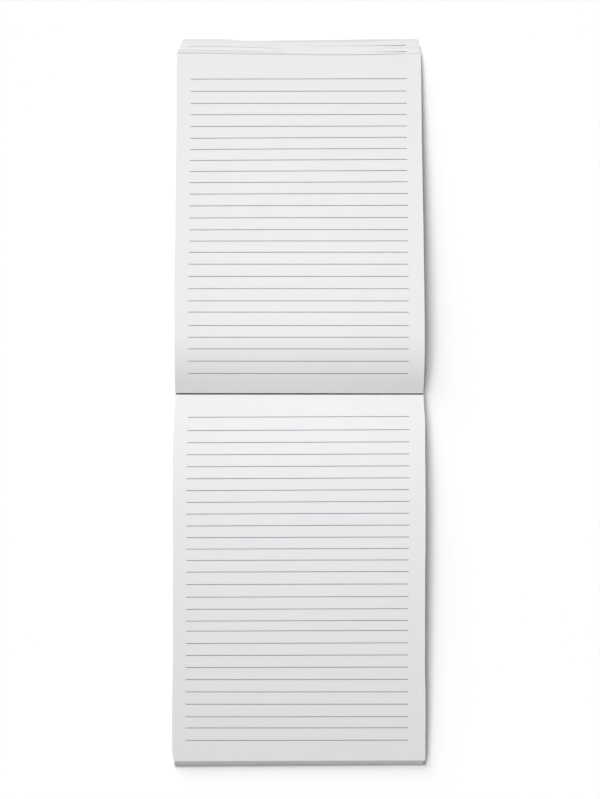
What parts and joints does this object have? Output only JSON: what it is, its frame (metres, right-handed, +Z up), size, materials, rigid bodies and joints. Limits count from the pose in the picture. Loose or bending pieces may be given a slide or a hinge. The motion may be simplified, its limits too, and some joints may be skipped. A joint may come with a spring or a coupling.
{
  "type": "notepad",
  "caption": "Ruled notepad glued along its head, lying open with part of its leaves turned back over the binding, on a greyboard back.",
  "frame": {"origin": "middle of the gutter, on the plane that the pad lies on", "axes": "+X to the reader's right, +Y from the gutter over the turned leaves to their far edge, +Z up"},
  "size_m": [0.1524, 0.4503, 0.0106],
  "materials": {
    "leaves": "matt, bright white, with grey ruling",
    "greyboard": "matt recycled greyboard with short fibres",
    "padding_gum": "thin dried padding gum, slightly glossy"
  },
  "bodies": {
    "root": {"leaf_block": "leaves", "backing_board": "greyboard", "binding_gum": "padding_gum"}
  },
  "joints": []
}
